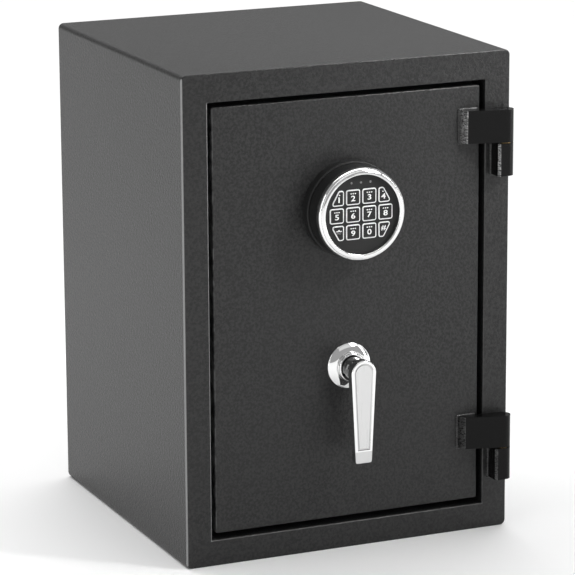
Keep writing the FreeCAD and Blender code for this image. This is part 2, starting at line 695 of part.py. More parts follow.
def lever_slab(inset, tip_z, depth):
    face = Part.Face(lever_outline(inset, tip_z))
    slab = face.extrude(FreeCAD.Vector(0, depth[1] - depth[0], 0))
    slab.translate(FreeCAD.Vector(0, depth[0] - LEVER_FRONT, 0))
    return slab


def make_rosette():
    """Domed disc with a groove round its collar."""
    r = ROSETTE_R
    groove_r = ROSETTE_GROOVE_R
    profile = [
        (ROSETTE_BORE_R, DOOR_FACE),
        (r, DOOR_FACE),
        (r, 0.6),
        ((r - 0.3, -0.3), (r - 1.1, -0.8)),
        ((17.0, -2.3), (groove_r + 0.5, -3.4)),
        ((groove_r + 0.2, -3.3), (groove_r, -2.8)),
        (groove_r - 0.3, -2.8),
        (groove_r - 0.4, -6.6),
        ((groove_r - 0.8, ROSETTE_FRONT + 0.4), (groove_r - 1.7, ROSETTE_FRONT)),
        (ROSETTE_BORE_R, ROSETTE_FRONT),
    ]
    put("handle_rosette", revolve_y(profile, HANDLE_Z))


def make_lever():
    lever = lever_slab(0, LEVER_TIP_Z, (LEVER_FRONT, LEVER_BACK))
    lever = lever.makeFillet(LEVER_CORNER_R, edges_along(lever, 1))
    bend = Part.makeBox(60, 20, 60, FreeCAD.Vector(-30, -20, -60))
    bend.rotate(FreeCAD.Vector(0, 0, 0), FreeCAD.Vector(1, 0, 0), -TIP_BEND_ANGLE)
    bend.translate(vec(0, LEVER_FRONT, TIP_BEND_Z))
    lever = lever.cut(bend)
    front_edges = [
        e
        for e in lever.Edges
        if abs(e.BoundBox.YMin - FRONT - LEVER_FRONT) < 1e-3 and e.BoundBox.ZMax > TIP_BEND_Z + 1
    ]
    lever = lever.makeFillet(LEVER_RIM_R, front_edges)
    bore_r = SPINDLE_R + RUNNING_FIT
    neck_end = LEVER_BACK - 0.5
    neck = [(bore_r, 1), (NECK_R, 1), (NECK_R, -10), (NECK_R + 0.9, neck_end), (bore_r, neck_end)]
    lever = lever.fuse(revolve_y(neck, HANDLE_Z))
    ahead = LEVER_FRONT - 2
    groove = lever_slab(GROOVE_INSET, TIP_BEND_Z + 1, (ahead, LEVER_FRONT + GROOVE_DEPTH))
    inset = GROOVE_INSET + GROOVE_WIDTH
    low_end = TIP_BEND_Z + 1 + GROOVE_WIDTH
    panel = lever_slab(inset, low_end, (LEVER_FRONT + PANEL_DROP, LEVER_FRONT + 2))
    put("handle_lever", lever.cut(groove.cut(panel)))


def make_spindle():
    spindle = rod_y(SPINDLE_R, (LEVER_BACK + 0.2, CRANK_BACK), 0, HANDLE_Z)
    thread = rod_y(CRANK_SCREW_R, (CRANK_BACK - CRANK_SCREW_LENGTH - 1, CRANK_BACK + 1), 0, HANDLE_Z)
    put("handle_spindle", spindle.cut(thread))

    bore = rod_y(SPINDLE_R + RUNNING_FIT, (0, CRANK_BACK), 0, HANDLE_Z)
    flange_t = 1.5
    inside = DOOR_FACE + SHEET
    front_bush = fuse(
        [
            rod_y(SPINDLE_HOLE_R, (DOOR_FACE, DOOR_FACE + 7), 0, HANDLE_Z),
            rod_y(SLEEVE_R + 2, (inside, inside + flange_t), 0, HANDLE_Z),
        ]
    )
    rear = (PLATE_BACK, PLATE_BACK + 1.2)
    rear_bush = fuse(
        [
            rod_y(SPINDLE_HOLE_R, (PLATE_FRONT - 1, rear[1]), 0, HANDLE_Z),
            rod_y(SPINDLE_HOLE_R + 2, rear, 0, HANDLE_Z),
        ]
    )
    put("spindle_bushes", front_bush.cut(bore), rear_bush.cut(bore))


def make_crank():
    """Arm on the spindle's end whose pin moves the carriage, and the screw that holds it."""
    side = CRANK_SIDE
    span = (CARRIAGE_BACK + 0.5, CRANK_BACK)
    hub = rod_y(CRANK_HUB_R, span, 0, HANDLE_Z)
    eye = rod_y(CRANK_PIN_R + 2, span, side, HANDLE_Z + side)
    web = prism(
        [
            (-4, HANDLE_Z + 4),
            (4, HANDLE_Z - 4),
            (side + 3.5, HANDLE_Z + side - 3.5),
            (side - 3.5, HANDLE_Z + side + 3.5),
        ],
        span,
    )
    pin = rod_y(CRANK_PIN_R, (PLATE_BACK + 1, CRANK_BACK), side, HANDLE_Z + side)
    crank = fuse([hub, eye, web, pin]).cut(rod_y(SPINDLE_R, (0, 60), 0, HANDLE_Z))
    put("crank", crank)

    seat = CRANK_BACK + CRANK_WASHER_T
    shank_r = CRANK_SCREW_R - 0.05
    washer = tube_y(CRANK_WASHER_R, CRANK_SCREW_R + 0.05, (CRANK_BACK, seat), 0, HANDLE_Z)
    head = rod_y(CRANK_SCREW_HEAD_R, (seat, seat + 3.5), 0, HANDLE_Z)
    shank = rod_y(shank_r, (CRANK_BACK - CRANK_SCREW_LENGTH, seat), 0, HANDLE_Z)
    put("crank_screw_and_washer", washer, fuse([head, shank]))


# ---- electronic lock ----------------------------------------------------------------------
def make_lock():
    span = (-LOCK_HALF, LOCK_HALF)
    tall = (LOCK_LOW, LOCK_HIGH)
    w = LOCK_WALL
    seat = LOCK_BACK + LOCK_COVER_T
    case = round_box(span, (PLATE_BACK, LOCK_BACK), tall, LOCK_CORNER_R)
    hollow = frame_block(
        LOCK_HALF - w, (PLATE_BACK + 2, LOCK_BACK + 1), (LOCK_LOW + w, LOCK_HIGH - w)
    )
    case = case.cut(hollow)
    cover = round_box(span, (LOCK_BACK, seat), tall, LOCK_CORNER_R)
    screws = []
    for x, z in lock_screw_places():
        case = case.fuse(rod_y(LOCK_BOSS_R, (PLATE_BACK + 1, LOCK_BACK), x, z))
    for x, z in lock_screw_places():
        hole = rod_y(LOCK_SCREW_R + 0.1, (PLATE_BACK - 1, seat + 1), x, z)
        case = case.cut(hole)
        cover = cover.cut(hole)
        shank = rod_y(LOCK_SCREW_R, (PLATE_FRONT, seat), x, z)
        head = rod_y(LOCK_SCREW_R + 2, (seat, seat + 3), x, z)
        socket = rod_y(2.2, (seat + 1, seat + 4), x, z)
        screws.append(fuse([shank, head]).cut(socket))
    front, back = TONGUE_DEPTHS
    bolt_slot = frame_block(
        TONGUE_HALF + TONGUE_CLEAR,
        (front - TONGUE_CLEAR, back + TONGUE_CLEAR),
        (LOCK_LOW - 1, LOCK_LOW + w + 1),
    )
    cable_hole = rod_z(CABLE_R + 0.6, (LOCK_HIGH - w - 1, LOCK_HIGH + 1), 0, CABLE_LOCK_DEPTH)
    case = case.cut(bolt_slot).cut(cable_hole).removeSplitter()
    put("lock_case", case)
    put("lock_cover", cover)
    put("lock_screws", *screws)

    tongue = frame_block(TONGUE_HALF, TONGUE_DEPTHS, (LOCK_LOW, LOCK_LOW + 14))
    head = frame_block(TONGUE_HALF + 8, TONGUE_DEPTHS, (LOCK_LOW + 13, LOCK_LOW + 33))
    put("lock_bolt", fuse([tongue, head]))
    coil = frame_block(COIL_HALF, COIL_DEPTHS, COIL_HEIGHTS)
    plunger = rod_z(PLUNGER_R, (PLUNGER_LOW, COIL_HEIGHTS[0]), 0, PLUNGER_DEPTH)
    put("lock_solenoid", fuse([coil, plunger]))


def make_cable():
    """Round lead from the keypad's board through the door and down into the lock case."""
    bend_start = CABLE_LOCK_DEPTH - CABLE_BEND_R
    start = vec(0, BOARD_DEPTH + 5, CABLE_Z)
    before = vec(0, bend_start, CABLE_Z)
    half_turn = CABLE_BEND_R * math.sin(math.pi / 4)
    middle = vec(0, bend_start + half_turn, CABLE_Z - CABLE_BEND_R + half_turn)
    after = vec(0, CABLE_LOCK_DEPTH, CABLE_Z - CABLE_BEND_R)
    end = vec(0, CABLE_LOCK_DEPTH, COIL_HEIGHTS[1])
    path = Part.Wire(
        [
            Part.LineSegment(start, before).toShape(),
            Part.Arc(before, middle, after).toShape(),
            Part.LineSegment(after, end).toShape(),
        ]
    )
    ring = Part.Wire([Part.makeCircle(CABLE_R, start, FreeCAD.Vector(0, 1, 0))])
    put("keypad_cable", path.makePipeShell([ring], True, False))


# ---- keypad -------------------------------------------------------------------------------
def make_keypad_base():
    floor = DOOR_FACE - 1.5
    foot_r = KEYPAD_R + 1.6
    profile = [
        (0.0, DOOR_FACE),
        (foot_r, DOOR_FACE),
        (foot_r, BASE_FRONT + 1.5),
        ((foot_r - 0.2, BASE_FRONT + 0.4), (foot_r - 0.8, BASE_FRONT)),
        (KEYPAD_HOLLOW_R, BASE_FRONT),
        (KEYPAD_HOLLOW_R, floor),
        (0.0, floor),
    ]
    base = revolve_y(profile, KEYPAD_Z)
    base = base.cut(rod_y(CABLE_HOLE_R - 1, (floor - 1, DOOR_FACE + 1), 0, CABLE_Z))
    screws = []
    for x in (-KEYPAD_SCREW_X, KEYPAD_SCREW_X):
        base = base.cut(rod_y(KEYPAD_SCREW_R, (floor - 1, DOOR_FACE + 1), x, KEYPAD_Z))
        head = rod_y(KEYPAD_SCREW_HEAD_R, (floor - 2.5, floor), x, KEYPAD_Z)
        head = head.makeFillet(1.0, edges_at_depth(head, floor - 2.5))
        shank = rod_y(KEYPAD_SCREW_R - 0.05, (floor, DOOR_FACE + 6), x, KEYPAD_Z)
        screws.append(fuse([head, shank]))
    put("keypad_base", base)
    put("keypad_screws", *screws)


def make_keypad_shell():
    """Housing with a waist line above the base, and the chrome bezel on its front."""
    r = KEYPAD_R
    neck_r = r - 0.6
    housing = [
        (KEYPAD_HOLLOW_R, BASE_FRONT),
        (neck_r, BASE_FRONT),
        (neck_r, BASE_FRONT - 1.2),
        (r, BASE_FRONT - 1.6),
        (r - 0.4, HOUSING_FRONT),
        (KEYPAD_HOLLOW_R, HOUSING_FRONT),
    ]
    put("keypad_housing", revolve_y(housing, KEYPAD_Z))

    line_r = r - 2.2  # a fine line turned into the bezel near its outer lip
    bezel = [
        (KEYPAD_HOLLOW_R + 0.2, HOUSING_FRONT),
        (neck_r, HOUSING_FRONT),
        (r - 0.1, HOUSING_FRONT - 0.8),
        (r - 0.1, HOUSING_FRONT - 3.0),
        ((r - 0.5, BEZEL_FRONT + 2.4), (line_r + 0.3, BEZEL_FRONT + 0.9)),
        (line_r, BEZEL_FRONT + 1.3),
        (line_r - 0.3, BEZEL_FRONT + 0.7),
        ((r - 3.8, BEZEL_FRONT + 0.1), (FACE_R + 1.4, BEZEL_FRONT)),
        ((FACE_R + 0.5, BEZEL_FRONT + 0.1), (FACE_R, BEZEL_FRONT + 0.7)),
        (FACE_R, FLANGE_FRONT),
        (KEYPAD_HOLLOW_R + 0.2, FLANGE_FRONT),
    ]
    put("keypad_bezel", revolve_y(bezel, KEYPAD_Z))


def led_places():
    for step in (-1, 0, 1):
        yield step * LED_SPACING, KEYPAD_Z + LED_RISE


def key_outline(column, row):
    """Outline points of a key about its own centre; a corner key's outer side slants."""
    h = KEY_HALF
    outer_x = {0: -1, 3: 1}.get(column, 0)
    outer_z = {0: 1, 2: -1}.get(row, 0)
    if not outer_x or not outer_z:
        return [(-h, -h), (h, -h), (h, h), (-h, h)]
    points = [(CORNER_KEY_FOOT, -h), (h, -h), (h, h), (CORNER_KEY_TOP, h)]
    return [(-outer_x * x, outer_z * z) for x, z in points]


def key_centre(column, row):
    return (column - 1.5) * KEY_PITCH, KEYPAD_Z + (1 - row) * KEY_PITCH


def key_prism(column, row, grow, depth):
    """Prism of a key's outline, grown outwards, with its corners rounded."""
    x0, z0 = key_centre(column, row)
    loop = [vec(x0 + x, depth[0], z0 + z) for x, z in key_outline(column, row)]
    wire = Part.makePolygon(loop + [loop[0]])
    if grow:
        wire = wire.makeOffset2D(grow, 2)
    solid = Part.Face(wire).extrude(FreeCAD.Vector(0, depth[1] - depth[0], 0))
    return solid.makeFillet(KEY_CORNER_R + grow, edges_along(solid, 1))


def make_keypad_face():
    back = FLANGE_FRONT + 0.1
    flange_r = KEYPAD_HOLLOW_R - 0.1
    through = (FACE_DEPTH - 1, HOUSING_FRONT)
    disc = rod_y(FACE_R - 0.1, (FACE_DEPTH, back), 0, KEYPAD_Z)
    flange = rod_y(flange_r, (back, HOUSING_FRONT - 0.4), 0, KEYPAD_Z)
    pocket = rod_y(FACE_R - 1.5, (back, HOUSING_FRONT), 0, KEYPAD_Z)
    face = disc.fuse(flange.cut(pocket)).removeSplitter()
    for row, names in enumerate(KEY_NAMES):
        for column, name in enumerate(names):
            face = face.cut(key_prism(column, row, KEY_CLEAR, through))
            cap = key_prism(column, row, 0, (KEY_FRONT, BOARD_DEPTH - 4))
            cap = cap.makeFillet(0.5, edges_at_depth(cap, KEY_FRONT))
            retainer = key_prism(column, row, KEY_CLEAR + 0.25, (back + 0.2, back + 1.5))
            put(name, fuse([cap, retainer]))
    for x, z in led_places():
        face = face.cut(rod_y(LED_TUBE_R + 0.1, through, x, z))
    put("keypad_face", face)


def make_keypad_inside():
    board_front = BOARD_DEPTH - BOARD_T
    domes = []
    for row in range(3):
        for column in range(4):
            x, z = key_centre(column, row)
            domes.append(rod_y(DOME_R, (board_front - DOME_T, board_front), x, z))
    put("key_domes", *domes)
    lamps = []
    for x, z in led_places():
        body = rod_y(LED_BODY_R, (BOARD_DEPTH - 5, board_front), x, z)
        tip = rod_y(LED_TUBE_R, (FACE_DEPTH - 0.3, BOARD_DEPTH - 5), x, z)
        lamps.append(fuse([body, tip]))
    put("status_lamps", *lamps)

    board = rod_y(KEYPAD_R - 5, (board_front, BOARD_DEPTH), 0, KEYPAD_Z)
    connector = frame_block(6, (BOARD_DEPTH, BOARD_DEPTH + 5), (CABLE_Z - 4, CABLE_Z + 4))
    chip = block((12, 22), (BOARD_DEPTH, BOARD_DEPTH + 2), (KEYPAD_Z + 8, KEYPAD_Z + 18))
    put("circuit_board", fuse([board, connector, chip]))
    cell = round_box(
        (-24.25, 24.25), (BOARD_DEPTH, DOOR_FACE - 1.9), (KEYPAD_Z - 28, KEYPAD_Z - 1.5), 2.5, axis=0
    )
    put("battery", cell)


# ---- build and write ----------------------------------------------------------------------
def write_nodes():
    for name, shapes in nodes.items():
        for shape in shapes:
            assert shape.isValid(), name
            assert len(shape.Solids) == 1, name
        solids = [shape.Solids[0] for shape in shapes]
        whole = solids[0] if len(solids) == 1 else Part.makeCompound(solids)
        whole.exportStep("parts/" + name + ".step")
    print(len(nodes), "nodes")


make_casing()
make_front_frame()
make_liner()
make_pockets()
make_fill()
make_anchor_sleeves()
make_inside()
make_hinges()
make_door_shell()
make_door_filling()
make_seal()
make_bolts()
make_carriage()
make_rosette()
make_lever()
make_spindle()
make_crank()
make_lock()
make_cable()
make_keypad_base()
make_keypad_shell()
make_keypad_face()
make_keypad_inside()
write_nodes()
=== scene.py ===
import math
import random

import bmesh
import bpy
from mathutils import Matrix, Vector


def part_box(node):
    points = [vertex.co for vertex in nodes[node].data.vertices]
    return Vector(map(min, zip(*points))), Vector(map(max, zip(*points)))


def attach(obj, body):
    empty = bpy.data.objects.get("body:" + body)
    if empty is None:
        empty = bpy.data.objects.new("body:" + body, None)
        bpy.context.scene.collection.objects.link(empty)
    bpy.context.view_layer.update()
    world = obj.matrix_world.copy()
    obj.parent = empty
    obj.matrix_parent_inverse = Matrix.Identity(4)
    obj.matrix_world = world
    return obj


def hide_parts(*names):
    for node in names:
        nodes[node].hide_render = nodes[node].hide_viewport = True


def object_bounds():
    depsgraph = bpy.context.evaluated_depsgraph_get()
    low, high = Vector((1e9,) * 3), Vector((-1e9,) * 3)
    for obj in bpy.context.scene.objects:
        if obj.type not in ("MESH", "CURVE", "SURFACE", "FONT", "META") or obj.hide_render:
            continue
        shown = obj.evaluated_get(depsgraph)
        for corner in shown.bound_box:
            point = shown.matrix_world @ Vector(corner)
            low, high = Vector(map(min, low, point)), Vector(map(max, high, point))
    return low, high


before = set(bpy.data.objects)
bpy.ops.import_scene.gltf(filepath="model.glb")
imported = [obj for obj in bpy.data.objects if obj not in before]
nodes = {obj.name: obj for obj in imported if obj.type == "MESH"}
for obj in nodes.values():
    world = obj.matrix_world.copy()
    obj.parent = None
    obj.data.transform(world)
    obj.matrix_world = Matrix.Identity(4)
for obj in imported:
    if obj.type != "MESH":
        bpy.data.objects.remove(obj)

MM = 0.001
cad_low, cad_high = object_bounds()

# ---- places taken from the CAD frame ------------------------------------------------------
FRONT_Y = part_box("front_frame")[0].y  # front face of the body
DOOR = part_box("door_skin")
DOOR_Y = DOOR[0].y  # front face of the door
GAP = 4.5 * MM  # between the door and the opening, at the sides and the top
GAP_BELOW = 5.3 * MM
OPENING_LEFT = DOOR[0].x - GAP
OPENING_RIGHT = -OPENING_LEFT
OPENING_LOW = DOOR[0].z - GAP_BELOW
OPENING_HIGH = DOOR[1].z + GAP
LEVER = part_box("handle_lever")
BEND_Z = LEVER[0].z + 11.0 * MM  # the lever's front turns back below this
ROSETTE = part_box("handle_rosette")
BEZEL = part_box("keypad_bezel")
KEYPAD_Z = (BEZEL[0].z + BEZEL[1].z) / 2
HANDLE_Z = (ROSETTE[0].z + ROSETTE[1].z) / 2
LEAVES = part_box("hinge_leaves")
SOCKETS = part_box("hinge_sockets")
HINGE_HALF_LENGTH = 29.2 * MM
SOCKET_BEVEL = 1.8 * MM
LEAF_NOSE = (4.0 * MM, 8.3 * MM)  # front corner of the slanted end, from its foot: right, ahead
LEAF_FOOT_RIGHT = 127 * MM


# ---- material building --------------------------------------------------------------------
class Look:
    """One Principled material whose colour, roughness and relief come from procedural nodes."""

    def __init__(self, name, **sockets):
        self.material = bpy.data.materials.new(name)
        self.material.use_nodes = True
        self.tree = self.material.node_tree
        self.tree.nodes.clear()
        output = self.add("ShaderNodeOutputMaterial")
        self.shader = self.add("ShaderNodeBsdfPrincipled")
        self.tree.links.new(self.shader.outputs[0], output.inputs["Surface"])
        self.place = self.add("ShaderNodeTexCoord").outputs["Object"]
        for socket, value in sockets.items():
            self.shader.inputs[socket.replace("_", " ")].default_value = value

    def add(self, kind, **properties):
        node = self.tree.nodes.new(kind)
        for name, value in properties.items():
            setattr(node, name, value)
        return node

    def feed(self, socket, value):
        """Links a node's output to a socket, or sets the socket to a constant."""
        if isinstance(value, bpy.types.NodeSocket):
            self.tree.links.new(value, socket)
        else:
            socket.default_value = value

    def stretched(self, scale, shift=(0, 0, 0)):
        mapping = self.add("ShaderNodeMapping")
        self.feed(mapping.inputs["Vector"], self.place)
        mapping.inputs["Scale"].default_value = scale
        mapping.inputs["Location"].default_value = shift
        return mapping.outputs[0]

    def noise(self, scale, detail=2.0, roughness=0.5, place=None, distortion=0.0):
        noise = self.add("ShaderNodeTexNoise")
        self.feed(noise.inputs["Vector"], place or self.place)
        noise.inputs["Scale"].default_value = scale
        noise.inputs["Detail"].default_value = detail
        noise.inputs["Roughness"].default_value = roughness
        noise.inputs["Distortion"].default_value = distortion
        return noise.outputs["Fac"]

    def cells(self, scale, feature="F1"):
        cells = self.add("ShaderNodeTexVoronoi", feature=feature)
        self.feed(cells.inputs["Vector"], self.place)
        cells.inputs["Scale"].default_value = scale
        return cells.outputs["Distance"]

    def span(self, value, low, high, out_low=0.0, out_high=1.0):
        """Maps low..high to out_low..out_high, clamped."""
        ranged = self.add("ShaderNodeMapRange")
        self.feed(ranged.inputs["Value"], value)
        for index, bound in enumerate((low, high, out_low, out_high), 1):
            ranged.inputs[index].default_value = bound
        return ranged.outputs[0]

    def math(self, operation, a, b=0.0):
        node = self.add("ShaderNodeMath", operation=operation)
        self.feed(node.inputs[0], a)
        self.feed(node.inputs[1], b)
        return node.outputs[0]

    def times(self, first, *others):
        for other in others:
            first = self.math("MULTIPLY", first, other)
        return first

    def band(self, value, rise_from, rise_to, fall_from, fall_to):
        """1 between rise_to and fall_from, fading to 0 at the outer two."""
        rise = self.span(value, rise_from, rise_to)
        return self.times(rise, self.span(value, fall_from, fall_to, 1, 0))

    def axis(self, letter):
        split = self.add("ShaderNodeSeparateXYZ")
        self.feed(split.inputs[0], self.place)
        return split.outputs[letter]

    def near(self, letter, place, reach):
        """1 at a place along an axis, fading to 0 at a distance of reach."""
        away = self.math("ABSOLUTE", self.math("SUBTRACT", self.axis(letter), place))
        return self.span(away, 0.7 * reach, reach, 1, 0)

    def blend(self, share, a, b):
        mix = self.add("ShaderNodeMix", data_type="RGBA")
        self.feed(mix.inputs["Factor"], share)
        colours = [socket for socket in mix.inputs if socket.type == "RGBA"]
        self.feed(colours[0], a)
        self.feed(colours[1], b)
        return next(socket for socket in mix.outputs if socket.type == "RGBA")

    def colour(self, value):
        self.feed(self.shader.inputs["Base Color"], value)
        return self

    def rough(self, value):
        self.feed(self.shader.inputs["Roughness"], value)
        return self

    def relief(self, height, depth, strength=1.0):
        """Bump of the given depth in metres, laid over any earlier one."""
        bump = self.add("ShaderNodeBump")
        bump.inputs["Distance"].default_value = depth
        bump.inputs["Strength"].default_value = strength
        self.feed(bump.inputs["Height"], height)
        earlier = self.shader.inputs["Normal"]
        if earlier.is_linked:
            self.feed(bump.inputs["Normal"], earlier.links[0].from_socket)
        self.feed(earlier, bump.outputs[0])
        return self


def grey(level, tint=0.0):
    return (level * (1 - tint), level, level * (1 + tint), 1)


# Painted highlights: a light grey laid along edges in place of the light that rounded edges catch.
HIGHLIGHT_PAINT_COLOUR = 0.36
CORNER_HIGHLIGHT_SHARE = 0.75  # how much of that colour shows
CORNER_HIGHLIGHT_REACH = (MM, 1.5 * MM)
DOOR_HIGHLIGHT_SHARE = 0.22
DOOR_HIGHLIGHT_REACH = MM
OPENING_HIGHLIGHTS = (  # axis, place, reach and how much shows
    ("X", OPENING_LEFT, 1.3 * MM, 0.6),
    ("Z", OPENING_LOW, 1.2 * MM, 0.2),
    ("X", OPENING_RIGHT, 0.8 * MM, 0.12),
)


def painted_edge_highlights(look):
    """Painted highlights: light lines that stand for light caught by rounded edges, on the body's
    front left edge and round the door opening.

    Known fault: the door's line has no limit in depth. It also covers the door's left side, and
    shows as a faint dashed line on the body's back. Multiplying it by a span on Y would end it.
    """
    x, y, z = (look.axis(letter) for letter in "XYZ")
    edge = cad_low.x + FRONT_Y
    corner = look.span(look.math("ADD", x, y), edge + CORNER_HIGHLIGHT_REACH[0], edge + CORNER_HIGHLIGHT_REACH[1], 1, 0)
    aside = look.span(look.math("ABSOLUTE", x), OPENING_RIGHT + 0.8 * MM, OPENING_RIGHT + MM, 1, 0)
    above = look.span(z, OPENING_LOW - MM, OPENING_LOW - 0.8 * MM)
    below = look.span(z, OPENING_HIGH + 0.3 * MM, OPENING_HIGH + 0.5 * MM, 1, 0)
    around = look.times(aside, above, below)
    front = look.span(y, FRONT_Y + 0.5 * MM, FRONT_Y + 0.8 * MM, 1, 0)
    broken = look.span(look.noise(120, 2), 0.42, 0.6)
    total = look.times(corner, CORNER_HIGHLIGHT_SHARE)
    for letter, place, reach, share in OPENING_HIGHLIGHTS:
        line = look.times(look.near(letter, place, reach), share, around, front)
        total = look.math("MAXIMUM", total, line)
    door = look.times(look.near("X", DOOR[0].x, DOOR_HIGHLIGHT_REACH), DOOR_HIGHLIGHT_SHARE, around, broken)
    return look.math("MAXIMUM", total, door)


def powder_coat():
    """Fine-grained black powder coat: small soft lumps, a little cloudiness and painted highlights
    along some edges.
    """
    look = Look("powder_coat", Specular_IOR_Level=0.39)
    lumps = look.noise(430, 3, 0.6)
    grain = look.noise(1900, 2)
    cloud = look.noise(9, 3)
    tone = look.blend(look.span(lumps, 0.4, 0.6), grey(0.0075), grey(0.023))
    tone = look.blend(look.span(cloud, 0.35, 0.65, 0, 0.3), tone, grey(0.014))
    # Painted highlights: light grey along the body's front left edge, round the door opening and on
    # the door's left edge.
    look.colour(look.blend(painted_edge_highlights(look), tone, grey(HIGHLIGHT_PAINT_COLOUR)))
    look.rough(look.span(grain, 0.3, 0.7, 0.3, 0.42))
    look.relief(lumps, 0.00055).relief(grain, 0.00006)
    return look


def hinge_paint(name, bare):
    """Glossier black paint over steel; bare is a function giving where the sawn metal shows."""
    look = Look(name, Specular_IOR_Level=0.12)
    waves = look.noise(260, 3)
    grain = look.noise(1500, 2)
    cuts = look.noise(800, 4, 0.7, look.stretched((0.5, 0.5, 1.5)), 0.6)
    mask = bare(look)
    scars = look.times(mask, look.span(cuts, 0.44, 0.56, 0.05, 1))
    paint = look.blend(look.span(grain, 0.3, 0.7), grey(0.003), grey(0.007))
    look.colour(look.blend(scars, paint, grey(0.46)))
    look.rough(look.blend(scars, grey(0.2), grey(0.42)))
    look.relief(waves, 0.0002, 0.5).relief(grain, 0.00004)
    look.relief(look.times(cuts, mask), 0.0012)
    return look


def leaf_end(look):
    """The leaf's slanted left end, with painted shade toward the door; less metal shows on the
    lower hinge.
    """
    middle = (LEAVES[0].z + LEAVES[1].z) / 2
    share = look.span(look.axis("Z"), middle - MM, middle + MM, 0.2, 0.9)
    across, ahead = LEAF_NOSE
    x = look.times(look.axis("X"), ahead)
    y = look.times(look.axis("Y"), across)
    beyond = look.math("SUBTRACT", look.math("ADD", x, y), LEAVES[0].x * ahead + DOOR_Y * across)
    unit = math.hypot(across, ahead) * MM
    end = look.span(beyond, 0.2 * unit, 0.6 * unit, 1, 0)
    # Painted highlight and shade: bare metal shows fully at the nose and fades to 0.3 toward the
    # door. This also scales the sawn relief.
    lit_nose_shaded_foot = look.span(look.axis("Y"), DOOR_Y - ahead, DOOR_Y, 1, 0.3)
    return look.times(end, lit_nose_shaded_foot, share)


def socket_bevel(look):
    """The bevel along the socket's front left edge; less metal shows on the lower hinge."""
    middle = (SOCKETS[0].z + SOCKETS[1].z) / 2
    share = look.span(look.axis("Z"), middle - MM, middle + MM, 0.2, 0.85)
    reach = look.math("ADD", look.axis("X"), look.axis("Y"))
    corner = SOCKETS[0].x + SOCKETS[0].y + SOCKET_BEVEL
    return look.times(look.span(reach, corner + 0.1 * MM, corner + 0.5 * MM, 1, 0), share)


def weld_paint():
    """The hinge paint where it has run thin and glossy over a weld bead."""
    look = Look("weld_paint", Specular_IOR_Level=0.5)
    scale = look.noise(1300, 3)
    cloud = look.noise(160, 3)
    look.colour(look.blend(look.span(cloud, 0.35, 0.65), grey(0.01), grey(0.035)))
    look.rough(look.span(scale, 0.3, 0.7, 0.2, 0.36))
    look.relief(scale, 0.00012)
    return look


def liner_paint():
    look = Look("liner_paint", Specular_IOR_Level=0.4)
    peel = look.noise(420, 2)
    cloud = look.noise(5, 3)
    look.colour(look.blend(look.span(cloud, 0.3, 0.7), grey(0.27, 0.01), grey(0.32, 0.01)))
    look.rough(look.span(peel, 0.3, 0.7, 0.42, 0.55))
    look.relief(peel, 0.00012, 0.6)
    return look


def chrome(name, level=0.9):
    look = Look(name, Metallic=1.0)
    haze = look.noise(60, 3)
    smear = look.noise(14, 4, 0.6)
    look.colour(look.blend(look.span(smear, 0.3, 0.7), grey(level * 0.97), grey(level)))
    look.rough(look.span(haze, 0.3, 0.7, 0.03, 0.06))
    look.relief(look.noise(14, 1), 0.00002, 0.2)
    return look


PANEL_DEPTHS = (0.25, 0.3, 0.4, 0.45)  # millimetres behind the lever's front
GROOVE_DEPTHS = (0.42, 0.6, 0.95, 1.0)
NECK_DEPTH = 8.0 * MM
TURNING_PITCH = 0.9 * MM


def lever_chrome():
    """Polished border, satin panel inside the groove, painted shade in the groove itself and on the
    turned-back facet below the bend, painted dark reflection on the neck.
    """
    look = chrome("lever_chrome", 0.94)
    depth = look.math("SUBTRACT", look.axis("Y"), LEVER[0].y)
    ahead = look.span(look.axis("Z"), BEND_Z, BEND_Z + 0.3 * MM)
    side = look.math("ABSOLUTE", look.axis("X"))
    half_width = look.span(look.axis("Z"), BEND_Z, HANDLE_Z, 5.9 * MM, 8.9 * MM)
    inside = look.span(look.math("SUBTRACT", half_width, side), 0, 0.2 * MM)
    panel, groove = (
        look.times(look.band(depth, *(bound * MM for bound in bounds)), inside, ahead)
        for bounds in (PANEL_DEPTHS, GROOVE_DEPTHS)
    )
    brushed = look.noise(900, 2, 0.5, look.stretched((1, 1, 0.03)))
    polish = look.span(brushed, 0.3, 0.7, 0.05, 0.08)
    satin = look.span(brushed, 0.3, 0.7, 0.22, 0.28)
    look.rough(look.blend(panel, polish, satin))
    # Painted shade: the turned-back facet below the bend is the same chrome, coloured darker for
    # the shaded floor it reflects.
    facet_shade = look.span(look.axis("Z"), BEND_Z - 0.3 * MM, BEND_Z, 1, 0)
    metal = look.blend(facet_shade, grey(0.92), grey(0.64))
    metal = look.blend(panel, metal, grey(0.69))
    # Painted shade: the groove is coloured darker where shade falls in it.
    metal = look.blend(groove, metal, grey(0.5))
    # Painted reflection: the neck is the same chrome, coloured near-black for the dark door it
    # reflects.
    neck = look.span(depth, NECK_DEPTH, NECK_DEPTH + 0.4 * MM)
    look.colour(look.blend(neck, metal, grey(0.045)))
    return look


def turned_chrome():
    """Chrome with the fine rings that turning leaves, centred on the keypad."""
    look = chrome("turned_chrome", 0.87)
    x = look.axis("X")
    z = look.math("SUBTRACT", look.axis("Z"), KEYPAD_Z)
    square = look.math("ADD", look.math("POWER", x, 2.0), look.math("POWER", z, 2.0))
    radius = look.math("POWER", square, 0.5)
    rings = look.math("SINE", look.times(radius, 2 * math.pi / TURNING_PITCH))
    look.relief(rings, 0.00002, 0.3)
    return look


def steel(name, level, low, high, grain=(1, 1, 1), tint=0.0, scale=700):
    look = Look(name, Metallic=1.0)
    marks = look.noise(scale, 3, 0.6, look.stretched(grain))
    cloud = look.noise(22, 3)
    look.colour(
        look.blend(look.span(cloud, 0.3, 0.7), grey(level * 0.88, tint), grey(level, tint))
    )
    look.rough(look.span(marks, 0.3, 0.7, low, high))
    look.relief(marks, 0.00003, 0.7)
    return look


